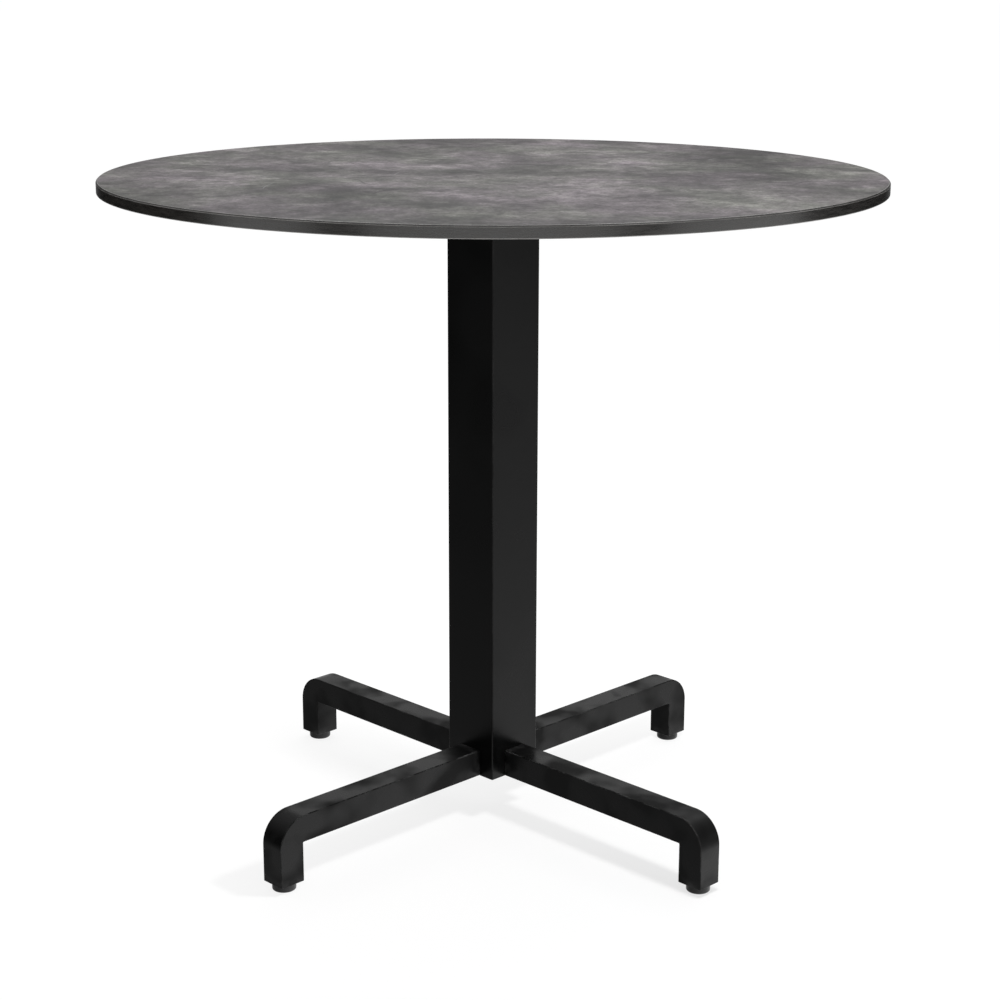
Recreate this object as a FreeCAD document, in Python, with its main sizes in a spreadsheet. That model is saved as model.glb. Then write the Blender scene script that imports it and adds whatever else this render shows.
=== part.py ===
"""Bistro table: a round compact-laminate top on a square column with four turned-down arms.

Frame: +Z up, origin on the floor under the column's axis. The arms lie on the diagonals of
X and Y. Lengths are in millimetres.
"""
import FreeCAD, Part
import math
import os

import Sketcher

# Driving dimensions. Each one becomes an aliased cell of the document's sheet.
SIZES = {
    # the whole table
    "table_height": 740.0,
    "top_diameter": 850.0,
    "top_thickness": 12.5,
    "top_arris": 1.5,
    "top_lower_arris": 0.5,
    # column tube
    "column_width": 72.0,
    "column_wall": 3.0,
    "column_corner": 1.5,
    # arms with their turned-down legs
    "arm_reach": 330.0,
    "arm_width": 31.0,
    "arm_depth": 31.0,
    "arm_underside": 53.5,
    "arm_edge": 1.2,
    "leg_depth": 31.0,
    "leg_end": 9.0,
    "elbow_radius": 33.0,
    # levelling glides
    "pad_radius": 13.0,
    "pad_round": 2.0,
    "pad_floor": 2.8,
    "stud_radius": 4.0,
    "stud_length": 31.0,
    "stud_tip_chamfer": 1.0,
    "stud_flange_radius": 7.0,
    "stud_flange_thickness": 3.0,
    "stud_socket_width": 5.0,
    "stud_socket_depth": 4.0,
    "key_hole_radius": 3.5,
    # cross under the top
    "cross_reach": 250.0,
    "cross_arm_width": 40.0,
    "cross_arm_thickness": 6.0,
    "cross_plate": 10.0,
    "cross_tip_radius": 8.0,
    "cross_rib_thickness": 6.0,
    "cross_rib_depth": 26.0,
    "cross_rib_runout": 10.0,
    "cross_screw_inset": 15.0,
    "cross_screw_side": 12.0,
    "spigot_length": 34.0,
    "spigot_wall": 6.0,
    "nut_recess_depth": 15.0,
    "nut_recess_radius": 13.0,
    "spigot_web": 10.0,
    # hub in the column's lower end
    "hub_wall": 8.0,
    "hub_web": 10.0,
    "hub_corner": 1.5,
    "cap_thickness": 2.0,
    "cap_peg_radius": 2.0,
    "cap_peg_length": 8.0,
    # tie rod with its nuts and washers
    "rod_radius": 5.0,
    "rod_nut_width": 17.0,
    "rod_nut_height": 8.0,
    "rod_washer_radius": 10.5,
    "rod_washer_thickness": 2.0,
    "rod_overhang": 3.0,
    # M6 cap screws, their washers and the inserts in the top
    "screw_radius": 3.0,
    "screw_head_radius": 5.0,
    "screw_head_height": 6.0,
    "screw_socket_width": 5.0,
    "screw_socket_depth": 3.0,
    "screw_washer_radius": 5.5,
    "screw_washer_thickness": 1.6,
    "screw_bite": 8.4,
    "arm_screw_bite": 12.0,
    "arm_screw_lift": 1.0,
    "tap_runout": 2.0,
    "insert_radius": 4.5,
    "insert_length": 9.0,
    # clearances
    "slip_gap": 0.2,
    "hole_gap": 0.3,
    "thread_gap": 0.05,
    "running_gap": 0.08,
}

# Distance between an arm's two screws, as a share of the arm's depth.
ARM_SCREW_PITCH_SHARE = 0.45

# Direction of each arm, in degrees from +X.
ARM_ANGLES = {"front_left": 225, "front_right": 315, "back_left": 135, "back_right": 45}
ARM_COUNT = len(ARM_ANGLES)
DIAGONAL_TURN = 45

HEXAGON_SIDES = 6
FULL_TURN = 360

# What counts as the same length (mm), as parallel (cosine) and as a real cut (cubic mm).
SAME_LENGTH = 0.01
PARALLEL_COSINE = 0.999
LEAST_CUT = 1.0

doc = FreeCAD.newDocument("BistroTable")


def make_sheet():
    """Put every driving dimension in an aliased cell."""
    sheet = doc.addObject("Spreadsheet::Sheet", "Sizes")
    for row, (alias, millimetres) in enumerate(SIZES.items(), start=1):
        sheet.set(f"A{row}", alias)
        sheet.set(f"B{row}", str(millimetres))
        sheet.setAlias(f"B{row}", alias)
    doc.recompute()
    return sheet


sheet = make_sheet()


def cell(alias):
    """The expression that reads one cell."""
    return f"Sizes.{alias}"


def number(expression):
    """The present value of an expression, in millimetres."""
    found = sheet.evalExpression(expression)
    return float(getattr(found, "Value", found))


# Expressions that several sub-parts share.
TOP_UNDERSIDE = "(Sizes.table_height - Sizes.top_thickness)"
COLUMN_TOP = f"({TOP_UNDERSIDE} - Sizes.cross_plate)"
COLUMN_HALF = "(Sizes.column_width / 2)"
BORE_HALF = f"({COLUMN_HALF} - Sizes.column_wall)"
CORE_HALF = f"({BORE_HALF} - Sizes.slip_gap)"
ARM_TOP = "(Sizes.arm_underside + Sizes.arm_depth)"
GLIDE_OFFSET = "(Sizes.arm_reach - Sizes.leg_depth / 2)"
CLEAR_RADIUS = "(Sizes.screw_radius + Sizes.hole_gap)"
TAP_RADIUS = "(Sizes.screw_radius + Sizes.thread_gap)"

# The pair of screws that holds each arm, one above the other.
ARM_SCREW_MIDDLE = "(Sizes.arm_underside + Sizes.arm_depth / 2 + Sizes.arm_screw_lift)"
ARM_SCREW_HALF_PITCH = f"(Sizes.arm_depth * {ARM_SCREW_PITCH_SHARE} / 2)"
ARM_SCREW_LEVELS = [f"({ARM_SCREW_MIDDLE} {sign} {ARM_SCREW_HALF_PITCH})" for sign in "-+"]
ARM_SCREW_END = f"({COLUMN_HALF} + Sizes.arm_screw_bite)"

# The hub stands on the end cap. Its cavity clears the screw heads.
HUB_INNER_HALF = f"({CORE_HALF} - Sizes.hub_wall)"
HUB_BOTTOM = "(Sizes.arm_underside + Sizes.cap_thickness)"
HUB_CAVITY_TOP = f"({ARM_TOP} + Sizes.arm_screw_lift)"
HUB_TOP = f"({HUB_CAVITY_TOP} + Sizes.hub_web)"
PEG_PLACE = f"({CORE_HALF} - Sizes.hub_wall / 2)"

# The pair of screws near the tip of each cross arm, one on each side of the rib.
CROSS_SCREW_REACH = "(Sizes.cross_reach - Sizes.cross_screw_inset)"
CROSS_SCREW_PLACES = [(CROSS_SCREW_REACH, f"({side} * Sizes.cross_screw_side)")
                      for side in (1, -1)]


def make_body(label, base_z="0", angle=0, base_x="0", base_y="0"):
    """An empty body turned about Z, with its base bound to three expressions."""
    body = doc.addObject("PartDesign::Body", label)
    body.Label = label
    turn = FreeCAD.Rotation(FreeCAD.Vector(0, 0, 1), angle)
    body.Placement = FreeCAD.Placement(FreeCAD.Vector(), turn)
    for axis, expression in zip("xyz", (base_x, base_y, base_z)):
        body.setExpression(f"Placement.Base.{axis}", expression)
    return body


def origin_feature(body, role):
    """One of the body's own origin planes or axes."""
    return next(item for item in body.Origin.OriginFeatures if item.Role == role)


def make_sketch(body, name, plane="XY_Plane", offset="0"):
    """A sketch on an origin plane, moved along the plane's normal by an expression."""
    sketch = body.newObject("Sketcher::SketchObject", f"{body.Label}_{name}")
    sketch.AttachmentSupport = (origin_feature(body, plane), [""])
    sketch.MapMode = "FlatFace"
    sketch.setExpression("AttachmentOffset.Base.z", offset)
    return sketch


def bind(sketch, constraint, expression):
    """Add a constraint and drive it by an expression."""
    index = sketch.addConstraint(constraint)
    sketch.setExpression(f"Constraints[{index}]", expression)


def place_point(sketch, geometry, point, x, y):
    """Hold one point of a sketch at a place given by two expressions."""
    bind(sketch, Sketcher.Constraint("DistanceX", -1, 1, geometry, point, number(x)), x)
    bind(sketch, Sketcher.Constraint("DistanceY", -1, 1, geometry, point, number(y)), y)


def draw_circle(sketch, radius, x="0", y="0"):
    """A circle with its radius and centre given by expressions."""
    centre = FreeCAD.Vector(number(x), number(y), 0)
    circle = Part.Circle(centre, FreeCAD.Vector(0, 0, 1), number(radius))
    geometry = sketch.addGeometry(circle, False)
    bind(sketch, Sketcher.Constraint("Radius", geometry, number(radius)), radius)
    place_point(sketch, geometry, 3, x, y)


def draw_outline(sketch, corners):
    """A closed outline of straight lines through corners given by pairs of expressions."""
    points = [FreeCAD.Vector(number(x), number(y), 0) for x, y in corners]
    count = len(points)
    lines = [Part.LineSegment(points[i], points[(i + 1) % count]) for i in range(count)]
    first = sketch.addGeometry(lines, False)[0]
    for i, (x, y) in enumerate(corners):
        following = first + (i + 1) % count
        sketch.addConstraint(Sketcher.Constraint("Coincident", first + i, 2, following, 1))
        place_point(sketch, first + i, 1, x, y)


def draw_square(sketch, half):
    """A square about the sketch's origin."""
    low = f"(-1 * {half})"
    draw_outline(sketch, [(low, low), (half, low), (half, half), (low, half)])


def draw_hexagon(sketch, width, x="0", y="0"):
    """A hexagon of a given width across its flats."""
    radius = f"({width} / sqrt(3))"
    turns = [f"{FULL_TURN * i / HEXAGON_SIDES} deg" for i in range(HEXAGON_SIDES)]
    corners = [(f"({x} + {radius} * cos({turn}))", f"({y} + {radius} * sin({turn}))")
               for turn in turns]
    draw_outline(sketch, corners)


def add_feature(body, kind, name):
    """A named PartDesign feature that becomes the body's tip."""
    feature = body.newObject(f"PartDesign::{kind}", f"{body.Label}_{name}")
    body.Tip = feature
    return feature


def pad(body, name, sketch, length, symmetric=False, reverse=False):
    """Add the sketch's area over a length along its normal."""
    feature = add_feature(body, "Pad", name)
    feature.Profile = sketch
    feature.SideType = "Symmetric" if symmetric else "One side"
    feature.Reversed = reverse
    feature.setExpression("Length", length)
    return feature


def pocket(body, name, sketch, depth, symmetric=False, reverse=False):
    """Cut the sketch's area over a depth. A pocket that removes nothing is an error."""
    doc.recompute()
    before = body.Shape.Volume
    feature = add_feature(body, "Pocket", name)
    feature.Profile = sketch
    feature.SideType = "Symmetric" if symmetric else "One side"
    feature.Reversed = reverse
    feature.setExpression("Length", depth)
    doc.recompute()
    if body.Shape.Volume > before - LEAST_CUT:
        raise RuntimeError(f"{feature.Name} cuts nothing")
    return feature


def revolve(body, name, sketch):
    """Turn the sketch once around its own vertical axis."""
    feature = add_feature(body, "Revolution", name)
    feature.Profile = sketch
    feature.ReferenceAxis = (sketch, ["V_Axis"])
    feature.Angle = FULL_TURN
    return feature


def repeat_around(body, name, features):
    """Repeat features once for each arm, around the body's Z axis."""
    pattern = add_feature(body, "PolarPattern", name)
    pattern.Originals = features
    pattern.Axis = (origin_feature(body, "Z_Axis"), [""])
    pattern.Angle = FULL_TURN
    pattern.Occurrences = ARM_COUNT
    return pattern


def edges_where(feature, wanted):
    """Names of the feature's edges whose middle point and direction pass a test."""
    names = []
    for index, edge in enumerate(feature.Shape.Edges, start=1):
        middle = edge.valueAt((edge.FirstParameter + edge.LastParameter) / 2)
        direction = edge.tangentAt((edge.FirstParameter + edge.LastParameter) / 2)
        if wanted(edge, middle, direction):
            names.append(f"Edge{index}")
    return names


def dress_edges(body, kind, name, wanted, size):
    """Fillet or chamfer the tip's edges that pass a test."""
    doc.recompute()
    base = body.Tip
    names = edges_where(base, wanted)
    if not names:
        raise RuntimeError(f"{body.Label}_{name} finds no edge")
    feature = add_feature(body, kind, name)
    feature.Base = (base, names)
    feature.setExpression("Radius" if kind == "Fillet" else "Size", size)
    return feature


def is_upright(edge, middle, direction):
    """True for a straight edge along Z."""
    return abs(direction.z) > PARALLEL_COSINE


def near(first, second):
    """True when two lengths are equal within the tolerance."""
    return abs(first - second) < SAME_LENGTH


# --- the top -----------------------------------------------------------------------------

def make_table_top():
    """A disc with chamfered arrises and blind holes for the inserts."""
    body = make_body("table_top", TOP_UNDERSIDE, DIAGONAL_TURN)
    outline = make_sketch(body, "outline")
    radius = "(Sizes.top_diameter / 2)"
    draw_circle(outline, radius)
    pad(body, "disc", outline, cell("top_thickness"))

    for size, face_level in (("top_arris", cell("top_thickness")), ("top_lower_arris", "0")):
        level = number(face_level)

        def is_rim(edge, middle, direction):
            is_round = near(edge.Length, 2 * math.pi * number(radius))
            return is_round and near(middle.z, level)

        dress_edges(body, "Chamfer", size, is_rim, cell(size))
    holes = make_sketch(body, "insert_places")
    for x, y in CROSS_SCREW_PLACES:
        draw_circle(holes, "(Sizes.insert_radius + Sizes.thread_gap)", x, y)
    depth = "(Sizes.insert_length + Sizes.hole_gap)"
    first = pocket(body, "insert_holes", holes, depth, reverse=True)
    repeat_around(body, "insert_holes_all", [first])


def make_top_inserts():
    """Threaded sleeves in the holes of the top's underside."""
    body = make_body("top_inserts", TOP_UNDERSIDE, DIAGONAL_TURN)
    outline = make_sketch(body, "rings")
    for x, y in CROSS_SCREW_PLACES:
        draw_circle(outline, cell("insert_radius"), x, y)
        draw_circle(outline, TAP_RADIUS, x, y)
    sleeves = pad(body, "sleeves", outline, cell("insert_length"))
    repeat_around(body, "sleeves_all", [sleeves])


def make_top_cross():
    """The casting that carries the top and locates in the column's upper end."""
    body = make_body("top_cross", TOP_UNDERSIDE, DIAGONAL_TURN)
    plate = make_sketch(body, "plate_outline")
    draw_square(plate, COLUMN_HALF)
    pad(body, "plate", plate, cell("cross_plate"), reverse=True)

    half_width = "(Sizes.cross_arm_width / 2)"
    arm = make_sketch(body, "arm_outline")
    draw_outline(arm, [("0", f"(-1 * {half_width})"),
                       (cell("cross_reach"), f"(-1 * {half_width})"),
                       (cell("cross_reach"), half_width),
                       ("0", half_width)])
    arms = pad(body, "arm", arm, cell("cross_arm_thickness"), reverse=True)

    # The rib stands just clear of the column's face and runs out before the screws.
    rib_start = f"({COLUMN_HALF} + Sizes.hole_gap)"
    rib_end = f"({CROSS_SCREW_REACH} - Sizes.cross_rib_runout)"
    rib = make_sketch(body, "rib_outline", "XZ_Plane")
    draw_outline(rib, [(rib_start, "-1 * Sizes.cross_arm_thickness / 2"),
                       (rib_start, "-1 * Sizes.cross_rib_depth"),
                       (rib_end, "-1 * Sizes.cross_arm_thickness"),
                       (rib_end, "-1 * Sizes.cross_arm_thickness / 2")])
    ribs = pad(body, "rib", rib, cell("cross_rib_thickness"), symmetric=True)

    holes = make_sketch(body, "screw_places")
    for x, y in CROSS_SCREW_PLACES:
        draw_circle(holes, CLEAR_RADIUS, x, y)
    screw_holes = pocket(body, "screw_holes", holes, "Sizes.cross_arm_thickness * 2",
                         symmetric=True)
    repeat_around(body, "arms_all", [arms, ribs, screw_holes])

    def is_tip_corner(edge, middle, direction):
        at_tip = near(max(abs(middle.x), abs(middle.y)), number(cell("cross_reach")))
        at_side = near(min(abs(middle.x), abs(middle.y)), number(half_width))
        return is_upright(edge, middle, direction) and at_tip and at_side

    dress_edges(body, "Fillet", "tip_corners", is_tip_corner, cell("cross_tip_radius"))

    spigot = make_sketch(body, "spigot_outline", offset="-1 * Sizes.cross_plate")
    draw_square(spigot, CORE_HALF)
    pad(body, "spigot", spigot, cell("spigot_length"), reverse=True)

    # The tie rod's nut lies in a recess above the web. The spigot is hollow below it.
    recess = make_sketch(body, "recess_outline")
    draw_circle(recess, cell("nut_recess_radius"))
    pocket(body, "recess", recess, cell("nut_recess_depth"))
    web_bottom = "(Sizes.nut_recess_depth + Sizes.spigot_web)"
    hollow = make_sketch(body, "hollow_outline", offset=f"-1 * {web_bottom}")
    draw_square(hollow, f"({CORE_HALF} - Sizes.spigot_wall)")
    pocket(body, "hollow", hollow, cell("spigot_length"))
    rod_hole = make_sketch(body, "rod_place")
    draw_circle(rod_hole, "(Sizes.rod_radius + Sizes.hole_gap)")
    pocket(body, "rod_hole", rod_hole, web_bottom)


def make_top_screws():
    """Cap screws that come up through the cross into the inserts."""
    head_top = "(Sizes.cross_arm_thickness + Sizes.screw_washer_thickness)"
    body = make_body("top_screws", f"{TOP_UNDERSIDE} - {head_top}", DIAGONAL_TURN)
    heads = make_sketch(body, "head_outline")
    shanks = make_sketch(body, "shank_outline")
    sockets = make_sketch(body, "socket_outline", offset="-1 * Sizes.screw_head_height")
    for x, y in CROSS_SCREW_PLACES:
        draw_circle(heads, cell("screw_head_radius"), x, y)
        draw_circle(shanks, cell("screw_radius"), x, y)
        draw_hexagon(sockets, cell("screw_socket_width"), x, y)
    head = pad(body, "heads", heads, cell("screw_head_height"), reverse=True)
    shank = pad(body, "shanks", shanks, f"{head_top} + Sizes.screw_bite")
    socket = pocket(body, "sockets", sockets, cell("screw_socket_depth"), reverse=True)
    repeat_around(body, "screws_all", [head, shank, socket])


def make_top_washers():
    """Flat washers between the screw heads and the cross."""
    body = make_body("top_washers", f"{TOP_UNDERSIDE} - Sizes.cross_arm_thickness", DIAGONAL_TURN)
    outline = make_sketch(body, "rings")
    for x, y in CROSS_SCREW_PLACES:
        draw_circle(outline, cell("screw_washer_radius"), x, y)
        draw_circle(outline, CLEAR_RADIUS, x, y)
    washers = pad(body, "washers", outline, cell("screw_washer_thickness"), reverse=True)
    repeat_around(body, "washers_all", [washers])


# --- the column and what clamps it -------------------------------------------------------

def pocket_arm_screw_holes(body, base_z, span):
    """Cut the arms' screw holes through both pairs of opposite walls."""
    for plane in ("XZ_Plane", "YZ_Plane"):
        side = plane[:2]
        holes = make_sketch(body, f"screw_places_{side}", plane)
        for level in ARM_SCREW_LEVELS:
            draw_circle(holes, CLEAR_RADIUS, "0", f"({level} - {base_z})")
        pocket(body, f"screw_holes_{side}", holes, span, symmetric=True)


def make_column():
    """A square tube with rounded corners, drilled for the arms' screws."""
    base_z = cell("arm_underside")
    body = make_body("column", base_z, DIAGONAL_TURN)
    length = f"({COLUMN_TOP} - {base_z})"
    outside = make_sketch(body, "outside")
    draw_square(outside, COLUMN_HALF)
    pad(body, "bar", outside, length)
    dress_edges(body, "Fillet", "corners", is_upright, cell("column_corner"))
    inside = make_sketch(body, "inside")
    draw_square(inside, BORE_HALF)
    pocket(body, "bore", inside, length, reverse=True)
    pocket_arm_screw_holes(body, base_z, cell("column_width"))


def make_hub_block():
    """A block inside the column that backs the arms' screws and anchors the tie rod."""
    body = make_body("hub_block", HUB_BOTTOM, DIAGONAL_TURN)
    outside = make_sketch(body, "outside")
    draw_square(outside, CORE_HALF)
    pad(body, "block", outside, f"{HUB_TOP} - {HUB_BOTTOM}")
    dress_edges(body, "Fillet", "corners", is_upright, cell("hub_corner"))
    cavity = make_sketch(body, "cavity_outline")
    draw_square(cavity, HUB_INNER_HALF)
    pocket(body, "cavity", cavity, f"{HUB_CAVITY_TOP} - {HUB_BOTTOM}", reverse=True)
    rod_hole = make_sketch(body, "rod_place")
    draw_circle(rod_hole, "(Sizes.rod_radius + Sizes.hole_gap)")
    pocket(body, "rod_hole", rod_hole, f"{HUB_TOP} - {HUB_BOTTOM}", reverse=True)
    pegs = make_sketch(body, "peg_places")
    draw_circle(pegs, "(Sizes.cap_peg_radius + Sizes.thread_gap)", PEG_PLACE, PEG_PLACE)
    peg_hole = pocket(body, "peg_hole", pegs, "Sizes.cap_peg_length + Sizes.hole_gap", reverse=True)
    repeat_around(body, "peg_holes_all", [peg_hole])
    pocket_arm_screw_holes(body, HUB_BOTTOM, cell("column_width"))


def make_hub_cap():
    """The plastic cap that closes the column's lower end, pegged into the hub."""
    body = make_body("hub_cap", cell("arm_underside"), DIAGONAL_TURN)
    outline = make_sketch(body, "outline")
    draw_square(outline, CORE_HALF)
    pad(body, "plate", outline, cell("cap_thickness"))
    dress_edges(body, "Fillet", "corners", is_upright, cell("hub_corner"))
    pegs = make_sketch(body, "peg_places")
    draw_circle(pegs, cell("cap_peg_radius"), PEG_PLACE, PEG_PLACE)
    peg = pad(body, "peg", pegs, "Sizes.cap_thickness + Sizes.cap_peg_length")
    repeat_around(body, "pegs_all", [peg])


def make_primitive(kind, name, **sizes):
    """A Part primitive whose sizes are bound to expressions."""
    primitive = doc.addObject(f"Part::{kind}", name)
    for size, expression in sizes.items():
        primitive.setExpression(size, expression)
    return primitive


def make_tie_rod():
    """The rod that pulls the cross and the hub together through the column."""
    stack = "Sizes.rod_washer_thickness + Sizes.rod_nut_height + Sizes.rod_overhang"
    upper_end = f"({TOP_UNDERSIDE} - Sizes.nut_recess_depth + {stack})"
    lower_end = f"({HUB_CAVITY_TOP} - ({stack}))"
    rod = make_primitive("Cylinder", "tie_rod", Radius=cell("rod_radius"),
                         Height=f"{upper_end} - {lower_end}")
    rod.setExpression("Placement.Base.z", lower_end)


def make_bored_disc(label, outside, hole_radius, base_z):
    """A washer or nut: a primitive with a round hole through it."""
    hole = make_primitive("Cylinder", f"{label}_hole", Radius=hole_radius,
                          Height="Sizes.rod_nut_height + Sizes.rod_washer_thickness")
    disc = doc.addObject("Part::Cut", label)
    disc.Base = outside
    disc.Tool = hole
    disc.Label = label
    disc.setExpression("Placement.Base.z", base_z)


def make_rod_washer(label, base_z):
    """A flat washer on the tie rod."""
    outside = make_primitive("Cylinder", f"{label}_outside", Radius=cell("rod_washer_radius"),
                             Height=cell("rod_washer_thickness"))
    make_bored_disc(label, outside, "Sizes.rod_radius + Sizes.hole_gap", base_z)


def make_rod_nut(label, base_z):
    """A hexagon nut on the tie rod."""
    outside = make_primitive("Prism", f"{label}_outside", Height=cell("rod_nut_height"),
                             Circumradius="Sizes.rod_nut_width / sqrt(3)")
    outside.Polygon = HEXAGON_SIDES
    make_bored_disc(label, outside, "Sizes.rod_radius + Sizes.thread_gap", base_z)


def make_rod_hardware():
    """A washer and a nut at each end of the tie rod."""
    web_top = f"({TOP_UNDERSIDE} - Sizes.nut_recess_depth)"
    make_rod_washer("tie_rod_upper_washer", web_top)
    make_rod_nut("tie_rod_upper_nut", f"{web_top} + Sizes.rod_washer_thickness")
    washer_bottom = f"({HUB_CAVITY_TOP} - Sizes.rod_washer_thickness)"
    make_rod_washer("tie_rod_lower_washer", washer_bottom)
    make_rod_nut("tie_rod_lower_nut", f"{washer_bottom} - Sizes.rod_nut_height")


# --- the arms ----------------------------------------------------------------------------

def make_arm(side):
    """One arm with its leg. Its own X axis runs out along the arm."""
    body = make_body(f"arm_{side}", angle=ARM_ANGLES[side])
    leg_inside = "(Sizes.arm_reach - Sizes.leg_depth)"
    outline = make_sketch(body, "outline", "XZ_Plane")
    draw_outline(outline, [(COLUMN_HALF, cell("arm_underside")),
                           (leg_inside, cell("arm_underside")),
                           (leg_inside, cell("leg_end")),
                           (cell("arm_reach"), cell("leg_end")),
                           (cell("arm_reach"), ARM_TOP),
                           (COLUMN_HALF, ARM_TOP)])
    pad(body, "bar", outline, cell("arm_width"), symmetric=True)

    def is_elbow(edge, middle, direction):
        at_reach = near(middle.x, number(cell("arm_reach")))
        is_level = abs(direction.y) > PARALLEL_COSINE
        return is_level and at_reach and near(middle.z, number(ARM_TOP))

    dress_edges(body, "Fillet", "elbow", is_elbow, cell("elbow_radius"))

    def is_long_edge(edge, middle, direction):
        on_side = near(abs(middle.y), number(cell("arm_width")) / 2)
        at_column = near(middle.x, number(COLUMN_HALF))
        return on_side and not at_column and not near(middle.z, number(cell("leg_end")))

    dress_edges(body, "Fillet", "soft_edges", is_long_edge, cell("arm_edge"))

    screws = make_sketch(body, "screw_places", "YZ_Plane")
    for level in ARM_SCREW_LEVELS:
        draw_circle(screws, TAP_RADIUS, "0", level)
    pocket(body, "screw_holes", screws, f"{ARM_SCREW_END} + Sizes.tap_runout", reverse=True)
    glide = make_sketch(body, "glide_place")
    draw_circle(glide, "(Sizes.stud_radius + Sizes.running_gap)", GLIDE_OFFSET)
    glide_depth = "Sizes.leg_end + Sizes.stud_length + Sizes.tap_runout"
    pocket(body, "glide_hole", glide, glide_depth, reverse=True)


def make_arm_screws():
    """Cap screws through the hub and the column's wall into the arms."""
    body = make_body("arm_screws", angle=DIAGONAL_TURN)
    head_seat = f"({HUB_INNER_HALF} - Sizes.screw_washer_thickness)"
    heads = make_sketch(body, "head_outline", "YZ_Plane", head_seat)
    shanks = make_sketch(body, "shank_outline", "YZ_Plane", head_seat)
    sockets = make_sketch(body, "socket_outline", "YZ_Plane",
                          f"{head_seat} - Sizes.screw_head_height")
    for level in ARM_SCREW_LEVELS:
        draw_circle(heads, cell("screw_head_radius"), "0", level)
        draw_circle(shanks, cell("screw_radius"), "0", level)
        draw_hexagon(sockets, cell("screw_socket_width"), "0", level)
    head = pad(body, "heads", heads, cell("screw_head_height"), reverse=True)
    shank = pad(body, "shanks", shanks, f"{ARM_SCREW_END} - {head_seat}")
    socket = pocket(body, "sockets", sockets, cell("screw_socket_depth"), reverse=True)
    repeat_around(body, "screws_all", [head, shank, socket])


def make_arm_washers():
    """Flat washers between the arms' screw heads and the hub."""
    body = make_body("arm_washers", angle=DIAGONAL_TURN)
    rings = make_sketch(body, "rings", "YZ_Plane", HUB_INNER_HALF)
    for level in ARM_SCREW_LEVELS:
        draw_circle(rings, cell("screw_washer_radius"), "0", level)
        draw_circle(rings, CLEAR_RADIUS, "0", level)
    washers = pad(body, "washers", rings, cell("screw_washer_thickness"), reverse=True)
    repeat_around(body, "washers_all", [washers])


# --- the levelling glides ----------------------------------------------------------------

FLANGE_BOTTOM = "(Sizes.pad_floor + Sizes.running_gap)"
FLANGE_TOP = f"({FLANGE_BOTTOM} + Sizes.stud_flange_thickness)"


def make_glide_body(label, side):
    """An empty body on the floor under one leg."""
    turn = f"{ARM_ANGLES[side]} deg"
    return make_body(label, angle=ARM_ANGLES[side], base_x=f"{GLIDE_OFFSET} * cos({turn})",
                     base_y=f"{GLIDE_OFFSET} * sin({turn})")


def make_glide_pad(side):
    """The round foot. It holds the stud's flange in a closed cavity, free to turn."""
    body = make_glide_body(f"glide_pad_{side}", side)
    cavity_radius = "(Sizes.stud_flange_radius + Sizes.running_gap)"
    cavity_top = f"({FLANGE_TOP} + Sizes.running_gap)"
    neck_radius = "(Sizes.stud_radius + Sizes.running_gap)"
    outline = make_sketch(body, "outline", "XZ_Plane")
    draw_outline(outline, [(cell("key_hole_radius"), "0"),
                           (cell("pad_radius"), "0"),
                           (cell("pad_radius"), cell("leg_end")),
                           (neck_radius, cell("leg_end")),
                           (neck_radius, cavity_top),
                           (cavity_radius, cavity_top),
                           (cavity_radius, cell("pad_floor")),
                           (cell("key_hole_radius"), cell("pad_floor"))])
    revolve(body, "foot", outline)

    def is_floor_edge(edge, middle, direction):
        return near(middle.z, 0) and near(math.hypot(middle.x, middle.y),
                                          number(cell("pad_radius")))

    dress_edges(body, "Fillet", "floor_edge", is_floor_edge, cell("pad_round"))


def make_glide_stud(side):
    """The threaded stud. It is turned by a hexagon key from below, through the foot."""
    body = make_glide_body(f"glide_stud_{side}", side)
    stud_top = "(Sizes.leg_end + Sizes.stud_length)"
    outline = make_sketch(body, "outline", "XZ_Plane")
    draw_outline(outline, [("0", FLANGE_BOTTOM),
                           (cell("stud_flange_radius"), FLANGE_BOTTOM),
                           (cell("stud_flange_radius"), FLANGE_TOP),
                           (cell("stud_radius"), FLANGE_TOP),
                           (cell("stud_radius"), f"({stud_top} - Sizes.stud_tip_chamfer)"),
                           ("(Sizes.stud_radius - Sizes.stud_tip_chamfer)", stud_top),
                           ("0", stud_top)])
    revolve(body, "stud", outline)
    socket = make_sketch(body, "socket_outline", offset=FLANGE_BOTTOM)
    draw_hexagon(socket, cell("stud_socket_width"))
    pocket(body, "socket", socket, cell("stud_socket_depth"), reverse=True)


# --- build, check and write --------------------------------------------------------------

def is_sub_part(item):
    """True for an object that no other object of the document is made from."""
    if item.TypeId == "PartDesign::Body":
        return True
    users = [user for user in item.InList if user.TypeId.startswith("Part::")]
    return item.TypeId in ("Part::Cut", "Part::Cylinder") and not users


def write_parts():
    """Check every object, then write each sub-part to its own file."""
    doc.recompute()
    failed = [item.Name for item in doc.Objects if {"Invalid", "Error"} & set(item.State)]
    if failed:
        raise RuntimeError(f"failed objects: {failed}")
    sub_parts = [item for item in doc.Objects if is_sub_part(item)]
    for item in sub_parts:
        if item.Shape.isNull() or not item.Shape.isValid():
            raise RuntimeError(f"bad shape: {item.Label}")
    os.makedirs("parts", exist_ok=True)
    for item in sub_parts:
        item.Shape.exportStep(os.path.join("parts", f"{item.Label}.step"))
        print(item.Label, len(item.Shape.Solids), round(item.Shape.Volume))


make_table_top()
make_top_inserts()
make_top_cross()
make_top_screws()
make_top_washers()
make_column()
make_hub_block()
make_hub_cap()
make_tie_rod()
make_rod_hardware()
make_arm_screws()
make_arm_washers()
for arm_side in ARM_ANGLES:
    make_arm(arm_side)
    make_glide_pad(arm_side)
    make_glide_stud(arm_side)
write_parts()
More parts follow.
